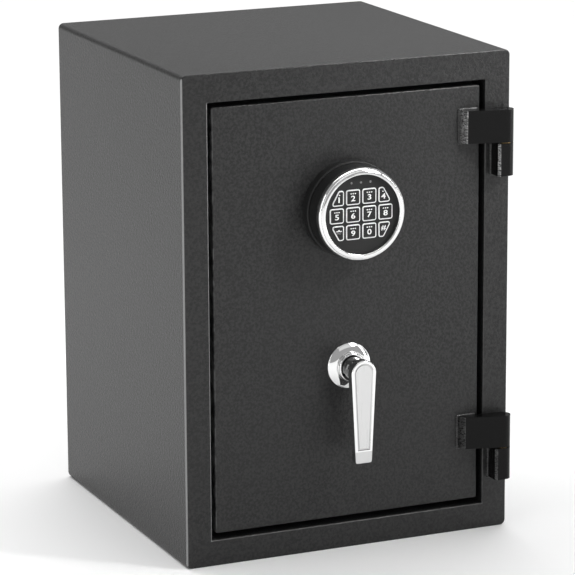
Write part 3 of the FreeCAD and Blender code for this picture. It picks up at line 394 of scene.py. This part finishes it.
def bronze():
    look = Look("bronze", Metallic=1.0)
    marks = look.noise(900, 2)
    stain = look.noise(70, 3)
    look.colour(
        look.blend(look.span(stain, 0.35, 0.7), (0.66, 0.45, 0.2, 1), (0.45, 0.29, 0.12, 1))
    )
    look.rough(look.span(marks, 0.3, 0.7, 0.24, 0.4))
    look.relief(marks, 0.00003)
    return look


def die_cast():
    look = Look("die_cast", Metallic=1.0)
    skin = look.noise(1100, 3, 0.6)
    cloud = look.noise(30, 3)
    look.colour(look.blend(look.span(cloud, 0.3, 0.7), grey(0.42, 0.02), grey(0.56, 0.02)))
    look.rough(look.span(skin, 0.3, 0.7, 0.4, 0.6))
    look.relief(skin, 0.00006)
    return look


def cement():
    look = Look("cast_cement")
    mass = look.noise(70, 5, 0.6)
    pores = look.cells(230)
    look.colour(
        look.blend(look.span(mass, 0.3, 0.7), (0.62, 0.6, 0.55, 1), (0.76, 0.73, 0.68, 1))
    )
    look.rough(look.span(mass, 0.3, 0.7, 0.85, 0.97))
    look.relief(look.span(pores, 0.05, 0.4), 0.0004).relief(mass, 0.0006)
    return look


def plastic(name, level, low=0.34, high=0.46, tint=0.0, gloss=0.45):
    look = Look(name, Specular_IOR_Level=gloss)
    grain = look.noise(1900, 2)
    cloud = look.noise(30, 2)
    look.colour(
        look.blend(look.span(cloud, 0.3, 0.7), grey(level * 0.9, tint), grey(level * 1.1, tint))
    )
    look.rough(look.span(grain, 0.3, 0.7, low, high))
    look.relief(grain, 0.00003)
    return look


def rubber(name, level):
    look = Look(name, Specular_IOR_Level=0.4)
    skin = look.noise(2600, 2)
    dust = look.noise(180, 4, 0.6)
    look.colour(
        look.blend(look.span(dust, 0.4, 0.75), grey(level), grey(level * 1.35 + 0.004))
    )
    look.rough(look.span(skin, 0.3, 0.7, 0.55, 0.7))
    look.relief(skin, 0.00003)
    return look


def felt():
    look = Look("needle_felt", Sheen_Weight=0.15, Sheen_Roughness=0.5)
    fibres = look.noise(900, 4, 0.7, look.stretched((1, 0.35, 1)), 1.2)
    crossing = look.noise(900, 4, 0.7, look.stretched((0.35, 1, 1), (3, 1, 2)), 1.2)
    mass = look.math("ADD", fibres, crossing)
    look.colour(look.blend(look.span(mass, 0.7, 1.3), grey(0.035, 0.03), grey(0.1, 0.03)))
    look.rough(look.span(mass, 0.7, 1.3, 0.85, 1.0))
    look.relief(mass, 0.0008)
    return look


def print_white():
    look = Look("key_print", Specular_IOR_Level=0.4)
    wear = look.noise(900, 3, 0.6)
    look.colour(look.blend(look.span(wear, 0.25, 0.6), grey(0.66), grey(0.82)))
    look.rough(look.span(wear, 0.3, 0.7, 0.4, 0.55))
    look.relief(wear, 0.00002)
    return look


def board():
    look = Look("solder_mask", Specular_IOR_Level=0.5)
    tracks = look.cells(420, "DISTANCE_TO_EDGE")
    look.colour(
        look.blend(
            look.span(tracks, 0.02, 0.09), (0.08, 0.3, 0.14, 1), (0.03, 0.17, 0.08, 1)
        )
    )
    look.rough(look.span(tracks, 0, 0.2, 0.22, 0.34))
    look.relief(look.span(tracks, 0.02, 0.09), 0.00003)
    return look


def lens():
    look = Look("lamp_lens", Transmission_Weight=0.35, IOR=1.5)
    swirl = look.noise(700, 2)
    look.colour(look.blend(look.span(swirl, 0.3, 0.7), grey(0.24), grey(0.34)))
    look.rough(look.span(swirl, 0.3, 0.7, 0.12, 0.22))
    look.relief(swirl, 0.00002)
    return look


LOOKS = {
    "body_powder_coat": powder_coat(),
    "hinge_paint": weld_paint(),
    "liner_paint": liner_paint(),
    "chrome_plate": chrome("polished_chrome"),
    "bright_steel": steel("turned_steel", 0.62, 0.16, 0.32, (14, 1, 1), scale=160),
    "zinc_plate": steel("zinc_plate", 0.6, 0.3, 0.46, tint=-0.02, scale=260),
    "screw_steel": steel("screw_zinc", 0.55, 0.26, 0.4, tint=0.02),
    "bronze_bush": bronze(),
    "lock_diecast": die_cast(),
    "insulation": cement(),
    "black_plastic": plastic("black_plastic", 0.013, 0.42, 0.55, gloss=0.3),
    "sleeve_plastic": plastic("natural_nylon", 0.62, 0.4, 0.55, -0.02),
    "key_rubber": rubber("key_rubber", 0.006),
    "dome_rubber": rubber("clear_silicone", 0.5),
    "seal_rubber": rubber("seal_rubber", 0.012),
    "mat_felt": felt(),
    "lamp_lens": lens(),
    "board_green": board(),
    "battery_wrap": plastic("battery_sleeve", 0.07, 0.2, 0.3, 0.25),
    "coil_wrap": plastic("coil_tape", 0.03, 0.3, 0.42),
    "cable_pvc": plastic("cable_jacket", 0.015, 0.35, 0.5),
}
NODE_LOOKS = {
    "handle_lever": lever_chrome(),
    "keypad_bezel": turned_chrome(),
    "hinge_leaves": hinge_paint("leaf_paint", leaf_end),
    "hinge_sockets": hinge_paint("socket_paint", socket_bevel),
}
PRINT = print_white()

for name, node in nodes.items():
    for slot in node.material_slots:
        slot.material = NODE_LOOKS.get(name, LOOKS[slot.material.name]).material


# ---- mesh building ------------------------------------------------------------------------
class Shape:
    """Vertices and faces gathered in the CAD frame, then made into one piece."""

    def __init__(self):
        self.points = []
        self.faces = []

    def grid(self, rows, close_rows=True):
        """Quads between closed rings of points, and from the last ring back to the first."""
        start = len(self.points)
        width = len(rows[0])
        for row in rows:
            self.points.extend(row)
        for i in range(len(rows) if close_rows else len(rows) - 1):
            for j in range(width):
                a, b = start + i * width, start + (i + 1) % len(rows) * width
                k = (j + 1) % width
                self.faces.append((a + j, a + k, b + k, b + j))

    def cap(self, ring):
        """Closes a ring of points with a fan round its middle."""
        start = len(self.points)
        self.points.extend(ring)
        self.points.append(sum(ring, Vector()) / len(ring))
        for j in range(len(ring)):
            self.faces.append((start + j, start + (j + 1) % len(ring), start + len(ring)))

    def mesh(self, other, matrix):
        """Adds a copy of a mesh, moved by the matrix."""
        start = len(self.points)
        self.points.extend(matrix @ v.co for v in other.vertices)
        self.faces.extend(tuple(start + i for i in p.vertices) for p in other.polygons)

    def piece(self, name, look, body, sharp=35):
        data = bpy.data.meshes.new(name)
        data.from_pydata([tuple(p) for p in self.points], [], self.faces)
        data.validate()
        made = bpy.data.objects.new(name, data)
        bpy.context.scene.collection.objects.link(made)
        tidy_mesh(data)
        data.shade_smooth()
        data.set_sharp_from_angle(angle=math.radians(sharp))
        data.materials.append(look.material)
        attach(made, body)
        return made


def tidy_mesh(data):
    """Merges doubled points and turns every face outwards."""
    made = bmesh.new()
    made.from_mesh(data)
    bmesh.ops.remove_doubles(made, verts=made.verts, dist=1e-7)
    bmesh.ops.recalc_face_normals(made, faces=made.faces)
    made.to_mesh(data)
    made.free()


def rounded_outline(corners, radius, grow, steps=6):
    """Points round a convex, anticlockwise outline with rounded corners, grown outwards."""
    found = []
    count = len(corners)
    for i in range(count):
        before, here, after = (Vector(corners[(i + k) % count]) for k in (-1, 0, 1))
        into, out = (here - before).normalized(), (after - here).normalized()
        n_in, n_out = Vector((into.y, -into.x)), Vector((out.y, -out.x))
        middle = (n_in + n_out).normalized()
        centre = here - middle * (radius / middle.dot(n_in))
        turn = n_in.angle_signed(n_out)
        for k in range(steps + 1):
            angle = -turn * k / steps
            direction = Matrix.Rotation(angle, 2) @ n_in
            found.append(centre + direction * (radius + grow))
    return found


def swept_outline(shape, corners, radius, profile):
    """Sweeps a closed profile of (outward offset, y) points round a rounded outline."""
    rows = []
    for grow, y in profile:
        outline = rounded_outline(corners, radius, grow)
        rows.append([Vector((p.x, y, p.y)) for p in outline])
    shape.grid(rows)


# ---- keypad print -------------------------------------------------------------------------
KEY_PITCH = 15.4 * MM
KEY_HALF = 6.7 * MM
KEY_RADIUS = 2.1 * MM
CORNER_KEY_FOOT, CORNER_KEY_TOP = -5.7 * MM, 1.8 * MM
KEY_ROWS = (("1", "2", "3", "4"), ("5", "6", "7", "8"), ("star", "9", "0", "hash"))
ROUND_MARK_KEYS = ("1", "4")  # one dot above the digit; the other digits have three dashes
GLYPHS = {"star": "*", "hash": "#"}
GLYPH_HEIGHTS = {"star": 4.6 * MM, "hash": 4.5 * MM}
GLYPH_BOLDNESS = {"star": 0.035, "hash": 0.012}
GLYPH_PLACES = {  # sideways and upwards from the key's centre, where it isn't the usual place
    "1": (2.0, -1.2),
    "4": (-2.1, -1.3),
    "star": (1.9, 1.0),
    "hash": (-1.9, 1.2),
}
DIGIT_HEIGHT = 4.9 * MM
DIGIT_WIDEN = 1.3
DIGIT_RISE = -0.9
DIGIT_BOLDNESS = 0.018
RIM_WIDTH = 0.95 * MM
PRINT_LIFT = 0.05 * MM
MARK_RISE = 4.2 * MM
MARK_PITCH = 2.0 * MM
FONT_DEPTH = 0.01  # half the glyph's thickness, at a font size of 1


def key_corners(column, row, centre):
    """The key's outline, anticlockwise seen from the front: (x, z) corners."""
    h = KEY_HALF
    outer_x = {0: -1, 3: 1}.get(column, 0)
    outer_z = {0: 1, 2: -1}.get(row, 0)
    if not outer_x or not outer_z:
        local = [(-h, -h), (h, -h), (h, h), (-h, h)]
    else:
        local = [(CORNER_KEY_FOOT, -h), (h, -h), (h, h), (CORNER_KEY_TOP, h)]
        local = [(-outer_x * x, outer_z * z) for x, z in local]
        if -outer_x * outer_z < 0:
            local.reverse()
    return [(centre[0] + x, centre[1] + z) for x, z in local]


def glyph_mesh(text, height, boldness):
    """A raised character, its middle at the origin and its height as given."""
    curve = bpy.data.curves.new("glyph", "FONT")
    curve.body = text
    curve.size = 1.0
    curve.offset = boldness
    curve.extrude = FONT_DEPTH
    curve.resolution_u = 4
    holder = bpy.data.objects.new("glyph", curve)
    bpy.context.scene.collection.objects.link(holder)
    bpy.context.view_layer.update()
    mesh = bpy.data.meshes.new_from_object(holder)
    bpy.data.objects.remove(holder)
    bpy.data.curves.remove(curve)
    xs = [v.co.x for v in mesh.vertices]
    ys = [v.co.y for v in mesh.vertices]
    scale = height / (max(ys) - min(ys))
    middle = Vector(((min(xs) + max(xs)) / 2, (min(ys) + max(ys)) / 2, 0))
    size = Matrix.Diagonal((scale * DIGIT_WIDEN, scale, PRINT_LIFT / FONT_DEPTH, 1))
    mesh.transform(size @ Matrix.Translation(-middle))
    return mesh


def dash(shape, x, z, y, half_x, half_z):
    """A small raised bar with rounded ends."""
    corners = [(x - half_x, z - half_z), (x + half_x, z - half_z)]
    corners += [(x + half_x, z + half_z), (x - half_x, z + half_z)]
    outline = rounded_outline(corners, half_z * 0.95, 0, steps=3)
    rings = [[Vector((p.x, level, p.y)) for p in outline] for level in (y + 0.1 * MM, y)]
    shape.grid(rings, close_rows=False)
    shape.cap(rings[1])
    shape.cap(rings[0])


def print_key(column, row, label):
    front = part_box("key_" + label)[0].y
    centre = ((column - 1.5) * KEY_PITCH, KEYPAD_Z + (1 - row) * KEY_PITCH)
    shape = Shape()
    lift = PRINT_LIFT
    rim = [
        (0.04 * MM, front + 0.62 * MM),
        (0.05 * MM, front + 0.42 * MM),
        (-0.08 * MM, front + 0.14 * MM),
        (-0.34 * MM, front - lift * 0.4),
        (-0.55 * MM, front - lift),
        (-RIM_WIDTH, front - lift),
        (-RIM_WIDTH - 0.03 * MM, front + 0.06 * MM),
        (-0.6 * MM, front + 0.1 * MM),
        (-0.2 * MM, front + 0.5 * MM),
    ]
    swept_outline(shape, key_corners(column, row, centre), KEY_RADIUS, rim)

    aside, up = GLYPH_PLACES.get(label, (0.0, DIGIT_RISE))
    place = Vector((centre[0] + aside * MM, front, centre[1] + up * MM))
    height = GLYPH_HEIGHTS.get(label, DIGIT_HEIGHT)
    mesh = glyph_mesh(GLYPHS.get(label, label), height, GLYPH_BOLDNESS.get(label, DIGIT_BOLDNESS))
    stand = Matrix.Translation(place) @ Matrix.Rotation(math.radians(90), 4, "X")
    shape.mesh(mesh, stand)
    bpy.data.meshes.remove(mesh)

    level = front - lift
    if label in ROUND_MARK_KEYS:
        dash(shape, place.x + aside * 0.2 * MM, place.z + MARK_RISE, level, 0.6 * MM, 0.55 * MM)
    elif label not in GLYPHS:
        for step in (-1, 0, 1):
            x = place.x + step * MARK_PITCH
            dash(shape, x, place.z + MARK_RISE, level, 0.7 * MM, 0.5 * MM)
    shape.piece("key_print_" + label, PRINT, "button_" + label)


for row, labels in enumerate(KEY_ROWS):
    for column, label in enumerate(labels):
        print_key(column, row, label)


# ---- weld beads at the hinges -------------------------------------------------------------
WELD_RADIUS = 1.5 * MM
WELD_RIPPLE = 1.5 * MM
WELD_STEP = 0.35 * MM
WELD_SIDES = 12
WELD_LIFT = 0.1 * MM  # the bead's middle ahead of the face


def weld(name, path, body, seed):
    """A rippled bead along a path on a face whose normal is -Y."""
    wobble = random.Random(seed)
    out = Vector((0, -1, 0))
    stations = []
    for a, b in zip(path, path[1:]):
        a, b = Vector(a), Vector(b)
        steps = max(2, round((b - a).length / WELD_STEP))
        for k in range(steps):
            stations.append(a.lerp(b, k / steps))
    stations.append(Vector(path[-1]))
    shape = Shape()
    rings = []
    travelled = 0.0
    drift = 0.0
    for i, here in enumerate(stations):
        before, after = stations[max(i - 3, 0)], stations[min(i + 3, len(stations) - 1)]
        along = (after - before).normalized()
        side = along.cross(out).normalized()
        if i:
            travelled += (here - stations[i - 1]).length
        drift = 0.8 * drift + wobble.uniform(-0.05, 0.05)
        phase = (travelled / WELD_RIPPLE) % 1
        ripple = 0.86 + 0.2 * math.sqrt(max(0.0, 1 - (2 * phase - 1) ** 2)) + drift
        fade = min(1.0, 0.35 + min(i, len(stations) - 1 - i) / 5)
        r = WELD_RADIUS * ripple * fade
        ring = []
        for k in range(WELD_SIDES):
            angle = 2 * math.pi * k / WELD_SIDES
            ring.append(here + side * (r * math.cos(angle)) + out * (r * 0.8 * math.sin(angle)))
        rings.append(ring)
    shape.grid(rings, close_rows=False)
    shape.cap(rings[0])
    shape.cap(rings[-1])
    shape.piece(name, LOOKS["hinge_paint"], body, sharp=60)


foot = LEAVES[0].x
for level, bottom in (("lower", LEAVES[0].z), ("upper", LEAVES[1].z - HINGE_HALF_LENGTH)):
    top = bottom + HINGE_HALF_LENGTH
    y = DOOR_Y - WELD_LIFT
    right = LEAF_FOOT_RIGHT - 2 * MM
    route = [(right, y, top), (foot, y, top), (foot, y, bottom), (right, y, bottom)]
    weld("leaf_weld_" + level, route, "door", 3)
for level, top in (("lower", SOCKETS[0].z + HINGE_HALF_LENGTH), ("upper", SOCKETS[1].z)):
    bottom = top - HINGE_HALF_LENGTH
    x = SOCKETS[0].x
    y = FRONT_Y - WELD_LIFT
    right = cad_high.x - 6 * MM
    route = [(x, y, top - MM), (x, y, bottom), (right, y, bottom)]
    weld("socket_weld_" + level, route, "cabinet", 5)


# ---- door seal ----------------------------------------------------------------------------
SEAL_CORNER_RADIUS = 8 * MM
SEAL_PROFILE = (  # a flat foot with a round bulb on it: millimetres outwards, share of the height
    (-0.2, 0.0),
    (-5.8, 0.0),
    (-5.8, 0.22),
    (-5.3, 0.34),
    (-5.0, 0.6),
    (-4.3, 0.86),
    (-3.0, 0.99),
    (-1.7, 0.86),
    (-1.0, 0.6),
    (-0.7, 0.34),
    (-0.2, 0.22),
)


def door_seal():
    low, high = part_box("door_seal")
    corners = [(low.x, low.z), (high.x, low.z), (high.x, high.z), (low.x, high.z)]
    depth = high.y - low.y
    shape = Shape()
    rows = [(grow * MM, low.y + share * depth) for grow, share in SEAL_PROFILE]
    swept_outline(shape, corners, SEAL_CORNER_RADIUS, rows)
    made = shape.piece("seal_profile", LOOKS["seal_rubber"], "door", sharp=50)
    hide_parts("door_seal")


door_seal()


# ---- felt mat -----------------------------------------------------------------------------
ANCHOR_X, ANCHOR_Y = 90 * MM, 80 * MM
MAT_HOLE_RADIUS = 12 * MM
MAT_CORNER_RADIUS = 6 * MM
MAT_EDGE_RADIUS = 0.4 * MM


def floor_mat():
    low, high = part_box("floor_mat")
    holes = [(x * ANCHOR_X, y * ANCHOR_Y) for x in (-1, 1) for y in (-1, 1)]
    curve = bpy.data.curves.new("mat_outline", "CURVE")
    curve.dimensions = "2D"
    curve.fill_mode = "BOTH"
    edge = MAT_EDGE_RADIUS
    corners = [(low.x, low.y), (high.x, low.y), (high.x, high.y), (low.x, high.y)]
    loops = [rounded_outline(corners, MAT_CORNER_RADIUS, -edge)]
    angles = [2 * math.pi * k / 40 for k in range(40)]
    for x, y in holes:
        r = MAT_HOLE_RADIUS + edge
        loops.append([Vector((x + r * math.cos(a), y + r * math.sin(a))) for a in angles])
    for loop in loops:
        spline = curve.splines.new("POLY")
        spline.points.add(len(loop) - 1)
        for point, place in zip(spline.points, loop):
            point.co = (place.x, place.y, 0, 1)
        spline.use_cyclic_u = True
    thick = high.z - low.z
    curve.extrude = thick / 2 - edge
    curve.bevel_depth = edge
    curve.bevel_resolution = 2
    holder = bpy.data.objects.new("mat_outline", curve)
    bpy.context.scene.collection.objects.link(holder)
    bpy.context.view_layer.update()
    mesh = bpy.data.meshes.new_from_object(holder)
    bpy.data.objects.remove(holder)
    shape = Shape()
    shape.mesh(mesh, Matrix.Translation((0, 0, low.z + thick / 2)))
    made = shape.piece("felt_mat", LOOKS["mat_felt"], "cabinet", sharp=60)
    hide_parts("floor_mat")


floor_mat()


# ---- stage, light and camera --------------------------------------------------------------
FLOOR_HALF = 20.0


def studio_floor():
    data = bpy.data.meshes.new("studio_floor")
    half = FLOOR_HALF
    data.from_pydata(
        [(-half, -half, 0), (half, -half, 0), (half, half, 0), (-half, half, 0)], [], [(0, 1, 2, 3)]
    )
    made = bpy.data.objects.new("studio_floor", data)
    bpy.context.scene.collection.objects.link(made)
    look = Look("pale_floor")
    cloud = look.noise(1.5, 2)
    look.colour(look.blend(look.span(cloud, 0.3, 0.7), grey(0.92), grey(0.94)))
    look.rough(look.span(cloud, 0.3, 0.7, 0.85, 0.9))
    data.materials.append(look.material)


WORLD = 0.36
SUN_POWER = 2.55
SUN_ANGLE = 70  # degrees across, for a soft shadow
SUN_HEADING = (0.0, -0.35, -0.94)
LIT_POINT = (0.0, -0.15, 0.25)
BOX_POWER = 0.9
OVERHEAD_POWER = 4.0
LEFT_POWER = 4.0
RIGHT_POWER = 5.0


def softbox(name, place, aim, size, power, spread=180):
    """An area light; spread is in degrees."""
    light = bpy.data.lights.new(name, "AREA")
    light.shape = "RECTANGLE"
    light.size, light.size_y = size
    light.energy = power
    light.spread = math.radians(spread)
    made = bpy.data.objects.new(name, light)
    bpy.context.scene.collection.objects.link(made)
    made.location = place
    direction = Vector(aim) - Vector(place)
    made.rotation_mode = "QUATERNION"
    made.rotation_quaternion = direction.to_track_quat("-Z", "Y")


def studio_light():
    world = bpy.data.worlds.new("studio")
    world.use_nodes = True
    background = world.node_tree.nodes["Background"]
    background.inputs["Color"].default_value = (1, 1, 1, 1)
    background.inputs["Strength"].default_value = WORLD
    bpy.context.scene.world = world

    light = bpy.data.lights.new("high_back", "SUN")
    light.energy = SUN_POWER
    light.angle = math.radians(SUN_ANGLE)
    made = bpy.data.objects.new("high_back", light)
    bpy.context.scene.collection.objects.link(made)
    made.rotation_mode = "QUATERNION"
    made.rotation_quaternion = Vector(SUN_HEADING).to_track_quat("-Z", "Y")
    softbox("high_right", (0.6, -0.6, 0.95), (0.2, -0.15, 0.49), (0.4, 0.4), BOX_POWER, 35)
    softbox("overhead", (0.5, -1.6, 2.0), LIT_POINT, (2.2, 1.6), OVERHEAD_POWER)
    softbox("left_strip", (-1.7, -0.75, 0.6), LIT_POINT, (0.25, 1.4), LEFT_POWER)
    softbox("right_strip", (1.6, -0.9, 0.5), LIT_POINT, (0.25, 1.4), RIGHT_POWER)


CAMERA_PLACE = (-1.1663, -2.6962, 0.9291)
CAMERA_HEADING = (0.38757, 0.89015, -0.23962)
CAMERA_ROLL = -0.308  # degrees
FOCAL_LENGTH = 206.1  # on a sensor 36 mm wide


def camera():
    data = bpy.data.cameras.new("camera")
    data.lens = FOCAL_LENGTH
    data.sensor_width = 36
    data.clip_end = 100
    made = bpy.data.objects.new("camera", data)
    bpy.context.scene.collection.objects.link(made)
    made.location = CAMERA_PLACE
    turn = Vector(CAMERA_HEADING).to_track_quat("-Z", "Y").to_matrix()
    up = turn @ Vector((0, 1, 0))
    roll = math.asin(math.sin(math.radians(CAMERA_ROLL)) / up.z)
    made.rotation_mode = "QUATERNION"
    made.rotation_quaternion = (turn @ Matrix.Rotation(roll, 3, "Z")).to_quaternion()
    bpy.context.scene.camera = made


studio_floor()
studio_light()
camera()
bpy.context.scene.view_settings.view_transform = "Standard"
